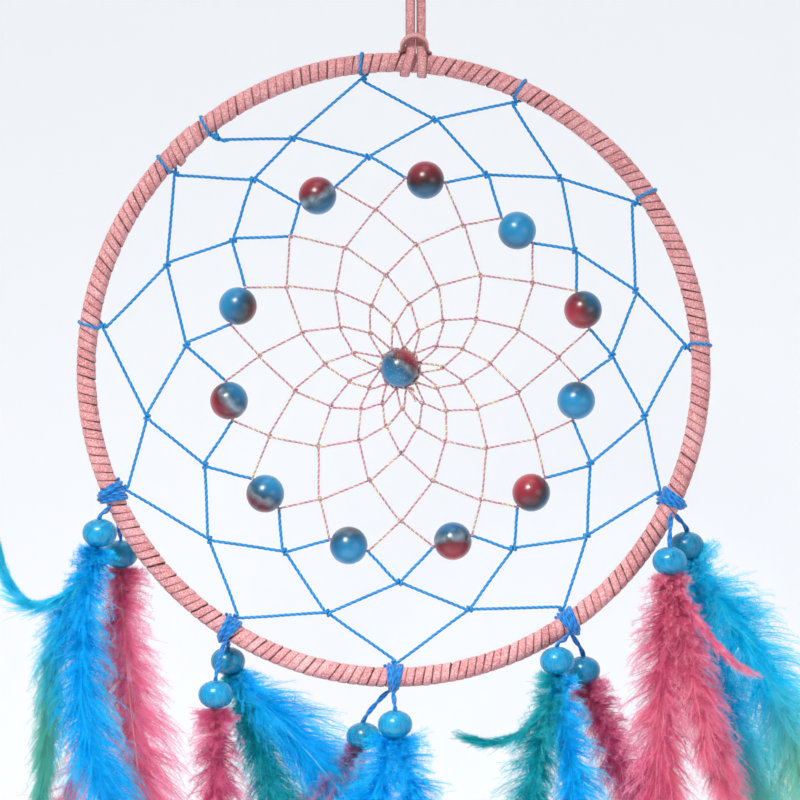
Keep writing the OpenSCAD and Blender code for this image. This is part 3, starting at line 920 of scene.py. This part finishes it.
# One row for each feather. left, right: reach of the down at five places from bead to tip (mm). lean: degrees
# to the right, bend: its change towards the tip, bow: to the right (mm), layer: off the first feather (mm),
# stray: share of long loose barbs, share: of the usual number of barbs, slim: of the usual depth, lie: of the
# usual opening of the barbs, path: the shaft's own places from the bead, for the curled ones
feathers = {"barbs": 2100, "barbules": 26, "barbPoints": 7, "depth": 6.0, "clumps": 40, "seed": 100,
            "places": [0, 0.18, 0.45, 0.75, 1], "openPlaces": [0, 0.04, 0.12, 0.4, 0.8, 1],
            "opening": [92, 80, 64, 52, 42, 22], "barbHalf": [0.13, 0.12, 0.11, 0.09, 0.07, 0.05, 0.015],
            "strayHalf": 0.045, "barbuleHalf": 0.07, "barbuleLength": (0.9, 2.6), "barbuleSwing": (25, 75),
            "matWidth": 0.2, "matDepth": 1.1}
dropFeathers = {
    "1a": [{"dye": "blue", "lean": -17, "bend": 44, "length": 96, "bow": 0, "left": [7, 9, 13, 12, 6],
            "right": [7, 10, 14, 12, 6]},
           {"dye": "greenEnd", "path": [(0, 0, -3), (-5, 0, -12), (-11, 0, -22), (-14.5, 0, -34),
                                        (-15.5, 0, -52), (-17, 0, -68), (-19, 0, -88)],
            "left": [3, 5, 6, 5, 2], "right": [3, 5, 6, 5, 2], "layer": -2.5, "stray": 0.12, "share": 0.8,
            "slim": 0.7, "lie": 0.7},
           {"dye": "cyan", "path": [(-3, 0, -10), (-9, 0, -16), (-14, 0, -19), (-20, 0, -20), (-26, 0, -16.5),
                                    (-30, 0, -9), (-32, 0, -2)], "left": [1.6, 2.6, 2.8, 2, 0.8],
            "right": [1.6, 2.6, 2.8, 2, 0.8], "share": 0.4, "slim": 0.35, "lie": 0.4}],
    "1b": [{"dye": "pink", "lean": 0, "bend": 12, "length": 94, "bow": 1, "left": [7, 13, 14, 12, 7],
            "right": [9, 11, 16, 19, 12], "shaftShows": 1},
           {"dye": "pink", "lean": -12, "bend": -2, "length": 96, "bow": 2, "left": [2, 4, 9, 15, 12],
            "right": [2, 4, 8, 10, 8], "layer": 1.5, "share": 0.35, "stray": 0.3, "lie": 1.2}],
    "2a": [{"dye": "crimson", "lean": 0, "bend": 0, "length": 98, "bow": 1, "left": [7, 10, 13, 14, 8],
            "right": [7, 10, 14, 16, 8]}],
    "2b": [{"dye": "blue", "lean": 46, "bend": -8, "length": 66, "bow": 0, "left": [4, 10, 12, 12, 6],
            "right": [4, 14, 16, 14, 7], "lie": 0.75, "shaftShows": 1},
           {"dye": "teal", "lean": 17, "bend": 6, "length": 78, "bow": 2, "left": [3, 8, 11, 12, 7],
            "right": [4, 9, 12, 11, 6], "layer": 2.0, "stray": 0.15}],
    "3a": [{"dye": "blue", "lean": -15, "bend": 16, "length": 97, "bow": -2, "left": [9, 11, 13, 13, 8],
            "right": [7, 8, 10, 10, 7]},
           {"dye": "blue", "lean": 12, "bend": -8, "length": 92, "bow": 2, "left": [6, 7, 9, 9, 5],
            "right": [9, 12, 13, 13, 7], "layer": 1.5}],
    "3b": [{"dye": "mauve", "lean": -38, "bend": 18, "length": 84, "bow": 0, "left": [4, 8, 10, 9, 6],
            "right": [4, 8, 9, 8, 5]}],
    "4a": [{"dye": "teal", "lean": -9, "bend": 4, "length": 95, "bow": -2, "left": [6, 10, 13, 14, 8],
            "right": [4, 7, 8, 8, 5], "layer": 1.2, "stray": 0.07},
           {"dye": "blue", "lean": 6, "bend": 0, "length": 92, "bow": 1, "left": [4, 6, 7, 7, 4],
            "right": [6, 10, 14, 14, 7]},
           {"dye": "teal", "path": [(-3, 0, -8), (-6, 0, -14), (-10, -1, -19), (-15, -1, -22), (-22, -1, -23),
                                    (-29, 0, -21.5)], "left": [1.2, 2, 2.6, 2.2, 1.4],
            "right": [1.2, 2, 2.6, 2.2, 1.4], "share": 0.15, "slim": 0.4, "lie": 0.6}],
    "4b": [{"dye": "crimson", "lean": 20, "bend": 3, "length": 88, "bow": 2, "left": [6, 9, 11, 11, 6],
            "right": [7, 10, 12, 12, 7]}],
    "5a": [{"dye": "rose", "lean": -3, "bend": 6, "length": 96, "bow": -1, "left": [7, 11, 13, 13, 8],
            "right": [6, 9, 11, 11, 8]},
           {"dye": "rose", "lean": 9, "bend": 12, "length": 80, "bow": 1, "left": [4, 7, 9, 8, 4],
            "right": [5, 7, 9, 8, 5], "layer": 1.2},
           {"dye": "pink", "path": [(3, -2, -6), (8, -3, -15), (14, -3, -23), (20, -3, -29), (25, -2, -32)],
            "left": [1.2, 1.8, 2.2, 2, 1.2], "right": [1.2, 1.8, 2.2, 2, 1.2], "share": 0.14, "slim": 0.4,
            "lie": 0.55}],
    "5b": [{"dye": "sea", "lean": 32, "bend": -9, "length": 84, "bow": 3, "left": [8, 13, 15, 14, 8],
            "right": [9, 14, 16, 16, 10]},
           {"dye": "sea", "lean": 17, "bend": 2, "length": 98, "bow": -2, "left": [3, 7, 11, 12, 7],
            "right": [3, 8, 12, 13, 7], "layer": 2.0}]}


def shaftLine(row, root, side):
    # the shaft's own line, its heading and the way across it, at 41 places
    t = np.linspace(0, 1, 41)
    if "path" in row:
        line = smoothLine(row["path"], 0.5)
        far = np.linspace(0, 1, len(line))
        shaft = np.stack([np.interp(t, far, line[:, i]) for i in range(3)], 1)
    else:
        a = np.radians(row["lean"] + row["bend"] * t)
        shaft = np.cumsum(np.stack([np.sin(a), 0 * a, -np.cos(a)], 1), 0) * row["length"] / 41
        shaft[:, 0] += row["bow"] * np.sin(np.pi * t)
    shaft[:, 1] += side * (row.get("layer", 0) * np.minimum(1, t * 5) + 1.5 * np.sin(np.pi * t))
    heading = unit(np.gradient(shaft, axis=0))
    across = unit(np.cross(np.array([0, 1.0, 0]), heading) * -1)
    return t, shaft + root, heading, across


def growFeather(row, root, side, rng):
    # soft barbs all round the shaft, each with its barbules, over a dense inner mat of down
    t, shaft, heading, across = shaftLine(row, root, side)
    long = np.linalg.norm(np.diff(shaft, axis=0), axis=1).sum()
    n, m, j = int(feathers["barbs"] * row.get("share", 1)), feathers["barbPoints"], feathers["barbules"]
    slim = row.get("slim", 1)
    at = rng.uniform(0, 1, n) ** 0.95 * 0.96
    # a few more right under the bead, where the down is pressed outwards
    at = np.sort(np.where(rng.uniform(0, 1, n) < 0.07, rng.uniform(0, 0.03, n), at))
    facing = rng.uniform(-1, 1, n)
    way = np.where(rng.uniform(0, 1, n) < 0.5, -1.0, 1.0)
    clumps = feathers["clumps"]
    clump = (np.floor(at * clumps + rng.normal(0, 0.3, n)) % clumps).astype(int)
    clump = clump + np.where(way > 0, clumps, 0) + np.where(facing > 0, 2 * clumps, 0)
    bunch = 4 * clumps

    def perClump(low, high):
        return rng.uniform(low, high, bunch)[clump]

    places = feathers["places"]
    spread = np.where(way < 0, np.interp(at, places, row["left"]), np.interp(at, places, row["right"]))
    # azimuth round the shaft: 0 lies flat to the side, a quarter turn stands to the front or back
    azimuth = np.radians(facing * 88) + perClump(-0.2, 0.2)
    size = perClump(0.78, 1.08) * rng.beta(1.9, 1.25, n) * 1.14
    stray = rng.uniform(0, 1, n) < row.get("stray", 0.05)
    size = np.where(stray, rng.uniform(1.0, 1.35, n), size)
    aside = spread * np.cos(azimuth) * size
    deep = feathers["depth"] * slim * np.sin(azimuth) * size * np.interp(at, [0, 0.2, 1], [0.6, 1, 0.8])
    opening = np.interp(at, feathers["openPlaces"], feathers["opening"])
    opening = np.radians((opening + perClump(-9, 9) + rng.normal(0, 9, n)) * row.get("lie", 1))
    run = np.hypot(spread * size, deep) / np.tan(np.clip(opening, 0.2, 1.75))
    run = np.minimum(run, 0.42 * long * (1.15 - at) + 4)
    u = np.linspace(0, 1, m)[None, :]
    curve = perClump(1.15, 2.1)[:, None]
    sideOut = 1 - (1 - u) ** curve
    sideOut = np.where(stray[:, None], u ** 1.25, sideOut)
    wave = rng.uniform(0, 2 * np.pi, (n, 1)) * 0.35 + rng.uniform(0, 2 * np.pi, bunch)[clump][:, None]
    wobble = np.sin(2 * np.pi * u * perClump(0.7, 1.3)[:, None] + wave) * u
    wobble = wobble * np.minimum(1, spread / 9)[:, None]
    base = np.stack([np.interp(at, t, shaft[:, i]) for i in range(3)], 1)[:, None]
    downAt = unit(np.stack([np.interp(at, t, heading[:, i]) for i in range(3)], 1))[:, None]
    acrossAt = unit(np.stack([np.interp(at, t, across[:, i]) for i in range(3)], 1))[:, None]
    front = np.array([0, -1.0, 0])
    line = base + downAt * (run[:, None] * u ** 1.08)[..., None]
    line = line + acrossAt * (way[:, None] * aside[:, None] * sideOut + 0.55 * wobble)[..., None]
    line = line + front * (deep[:, None] * sideOut + 0.55 * np.roll(wobble, 3, axis=0))[..., None]
    ways = unit(np.gradient(line, axis=1))
    roll = unit(front + rng.normal(0, 0.75, (n, 1, 3)))
    wide = unit(np.cross(ways, roll))
    half = np.array(feathers["barbHalf"])[None, :, None]
    half = np.where(stray[:, None, None], feathers["strayHalf"], half)
    ribbon = np.stack([line - wide * half, line + wide * half], 2).reshape(-1, 3)
    k = np.arange(n)[:, None] * m * 2 + np.arange(m - 1)[None, :] * 2
    quads = np.stack([k, k + 1, k + 3, k + 2], -1).reshape(-1, 4)
    tint = np.clip(perClump(0.2, 0.8) + rng.normal(0, 0.14, n), 0, 1)
    reach = u * np.clip(size, 0.3, 1)[:, None]
    parts = [(ribbon, [quads], {"along": np.repeat(at, m * 2), "reach": np.repeat(reach.ravel(), 2),
                                "tint": np.repeat(tint, m * 2)})]
    for hand in (-1, 1):
        v = np.clip((np.arange(j)[None, :] + rng.uniform(0, 1, (n, j))) / j, 0.0, 0.995)
        place = v * (m - 1)
        low = place.astype(int)
        f = (place - low)[..., None]
        pick = np.arange(n)[:, None]
        p = line[pick, low] * (1 - f) + line[pick, low + 1] * f
        d = ways[pick, low]
        swing = np.radians(rng.uniform(*feathers["barbuleSwing"], (n, j)))[..., None]
        out = unit(np.cos(swing) * d + hand * np.sin(swing) * wide[pick, low] + rng.normal(0, 0.3, (n, j, 3)))
        length = rng.uniform(*feathers["barbuleLength"], (n, j)) * (1 - 0.3 * v)
        length = length * np.where(stray, 0.35, 1)[:, None]
        length = (length * np.minimum(1, 0.4 + spread[:, None] / 9))[..., None]
        thin = feathers["barbuleHalf"] * (1 - 0.4 * v)[..., None] * np.where(stray, 0.4, 1)[:, None, None]
        tri = np.stack([p - d * thin, p + d * thin, p + out * length], 2).reshape(-1, 3)
        # the barbule tips reach further into the painted highlight
        reachOf = np.repeat((v * np.clip(size, 0.3, 1)[:, None]).ravel(), 3) + np.tile([0, 0, 0.12], n * j)
        tintOf = np.repeat(np.repeat(tint, j) + rng.normal(0, 0.07, n * j), 3)
        parts.append((tri, [np.arange(n * j * 3).reshape(-1, 3)], {
            "along": np.repeat(at, j * 3), "reach": np.clip(reachOf, 0, 1), "tint": np.clip(tintOf, 0, 1)}))
    # inner mat: a lumpy lens round the shaft, narrower than the down
    sides = 18
    turn = np.linspace(0, 2 * np.pi, sides, endpoint=False)[None, :]
    leftReach, rightReach = (np.interp(t, places, row[hand])[:, None] for hand in ("left", "right"))
    fade = (np.sin(np.pi * np.clip(t, 0, 1) ** 0.75) ** 0.6)[:, None]
    reachSide = np.where(np.cos(turn) < 0, leftReach, rightReach) * feathers["matWidth"] * fade
    lumps = 1 + 0.22 * np.sin(9 * t[:, None] * 2 * np.pi + 3 * turn) + rng.normal(0, 0.09, (len(t), sides))
    ring = shaft[:, None] + (reachSide * lumps * np.cos(turn))[..., None] * across[:, None]
    ring = ring + (feathers["matDepth"] * slim * fade * lumps * np.sin(turn))[..., None] * front
    ring = ring + (heading * 2.5)[:, None] * fade[..., None]
    flat = np.full(len(t) * sides, 1.0)
    parts.append((ring.reshape(-1, 3), [gridFaces(len(t), sides, True)],
                  {"along": np.repeat(t, sides), "reach": flat * 0.1, "tint": flat * 0.55}))
    return parts, shaft


# Feather quill: pale horn, dyed through with its barbs, smooth
def hornQuill(name, low, high):
    material, tree = startMaterial(name)
    place = addNode(tree, "TexCoord").outputs["Object"]
    cloud = addNode(tree, "TexNoise", {"Vector": place, "Scale": 160, "Detail": 2})
    tone = addNode(tree, "ValToRGB", {"Fac": cloud}, [(0.35, low), (0.65, high)])
    endMaterial(tree, addNode(tree, "BsdfPrincipled", {
        "Base Color": tone, "Roughness": 0.4, "IOR": 1.55}))
    return material


quillHorn = {"cold": hornQuill("blueHornQuill", "#30b4e8", "#8cdcf8"),
             "warm": hornQuill("pinkHornQuill", "#f09088", "#ffb8a8")}
warmDyes = ("pink", "rose", "crimson", "mauve")
quills = {"root": 0.7, "tip": 0.1, "forward": 5.5, "bindingRadius": 0.8, "bindingTurns": 4, "yarn": 0.7,
          "lay": 2.0}


def buildFeathers(key, order):
    centre, height = dropPlaces[key]
    side = 1 if key[1] == "b" else -1
    body = f"drop_{key}"
    root = centre - np.array([0, 0, height / 2 - 1.7])
    rng = np.random.default_rng(feathers["seed"] + order)
    shafts = []
    for count, row in enumerate(dropFeathers[key]):
        parts, shaft = growFeather(row, root, side, rng)
        makePiece(f"{row['dye']}_feather_{key}_{count + 1}", parts, featherDyes[row["dye"]], body,
                  [f"feathers_{key}"])
        if "path" in row:
            continue
        width = np.linspace(quills["root"], quills["tip"], len(shaft))
        front = np.linspace(0, quills["forward"] if row.get("shaftShows") else 0.2, len(shaft)) ** 0.8
        shaft = shaft + np.outer(front, [0, -1, 0])
        heading, across, up = sidesOf(shaft)
        turn = np.linspace(0, 2 * np.pi, 8, endpoint=False)[None, :, None]
        rim = np.cos(turn) * across[:, None] + np.sin(turn) * up[:, None]
        ring = shaft[:, None] + width[:, None, None] / 2 * rim
        shafts.append((ring.reshape(-1, 3), [gridFaces(len(shaft), 8, True)], {}))
    horn = quillHorn["warm" if dropFeathers[key][0]["dye"] in warmDyes else "cold"]
    makePiece(f"quills_{key}", shafts, horn, body)
    # thread wound tight round the quills, drawn up into the bead
    a, r = np.linspace(0, 2 * np.pi * quills["bindingTurns"], 60), quills["bindingRadius"]
    coil = root + np.stack([r * np.cos(a), r * np.sin(a), 0.9 - a / (2 * np.pi) * 0.62], 1)
    binding = spunCord(smoothLine(coil, 0.35), quills["yarn"], 2, quills["lay"], 8, 0.3)
    makePiece(f"quill_binding_{key}", [binding], yarn, body)


for order, key in enumerate(dropKeys):
    buildFeathers(key, order)
print("feathers ready")


# Room for the picture only: a pale wall, evenly lit and seen from the front alone, and a pale floor far below
room = {"size": 6, "wall": {"colour": "#949496", "glow": 0.66, "place": (0, 0.16, -0.2), "tilt": math.pi / 2},
        "floor": {"colour": "#eef1f4", "glow": 0, "place": (0, 0, -0.47), "tilt": 0}}


def palePlane(name, oneSided):
    row = room[name]
    material, tree = startMaterial(name + "Paint")
    shader = addNode(tree, "BsdfPrincipled", {
        "Base Color": toLinear(row["colour"]), "Roughness": 0.9, "Specular IOR Level": 0.1,
        "Emission Color": toLinear("#f8fbff"), "Emission Strength": row["glow"]})
    if oneSided:
        back = addNode(tree, "NewGeometry").outputs["Backfacing"]
        shader = addNode(tree, "MixShader", {0: back, 1: shader, 2: addNode(tree, "BsdfTransparent")})
    endMaterial(tree, shader)
    bpy.ops.mesh.primitive_plane_add(size=room["size"], location=row["place"], rotation=(row["tilt"], 0, 0))
    plane = bpy.context.object
    plane.name = name
    plane.data.materials.append(material)


palePlane("wall", True)
palePlane("floor", False)

# The soft box stands high on the left and is feathered down, so the drops get more of it than the hoop's top
lights = {"softBox": {"place": (-0.45, -1.1, 0.55), "aim": (0.02, 0, -0.52), "size": 0.5, "power": 1.45,
                      "spread": 36, "colour": "#ffffff"},
          "fillRight": {"place": (1.2, -1.2, -0.3), "aim": (0, 0, -0.25), "size": 1.2, "power": 5,
                        "spread": 180, "colour": "#f4f7ff"},
          "wallWash": {"place": (0, -0.3, 1.3), "aim": (0, 0.16, -0.1), "size": 1.0, "power": 3,
                       "spread": 180, "colour": "#ffffff"}}
for name, row in lights.items():
    lamp = bpy.data.lights.new(name, "AREA")
    lamp.shape = "DISK"
    lamp.size = row["size"]
    lamp.energy = row["power"]
    lamp.spread = math.radians(row["spread"])
    lamp.color = toLinear(row["colour"])[:3]
    holder = bpy.data.objects.new(name, lamp)
    scene.collection.objects.link(holder)
    holder.visible_camera = False
    holder.location = row["place"]
    aim = np.array(row["aim"]) - np.array(row["place"])
    tilt = math.acos(-aim[2] / np.linalg.norm(aim))
    holder.rotation_euler = (tilt, 0, math.atan2(aim[1], aim[0]) - math.pi / 2)
sky = {"Color": toLinear("#f4f6fa"), "Strength": 0.44}
world = bpy.data.worlds.new("studio")
world.use_nodes = True
for key, value in sky.items():
    world.node_tree.nodes["Background"].inputs[key].default_value = value
scene.world = world
scene.view_settings.view_transform = "Standard"
print("studio ready")
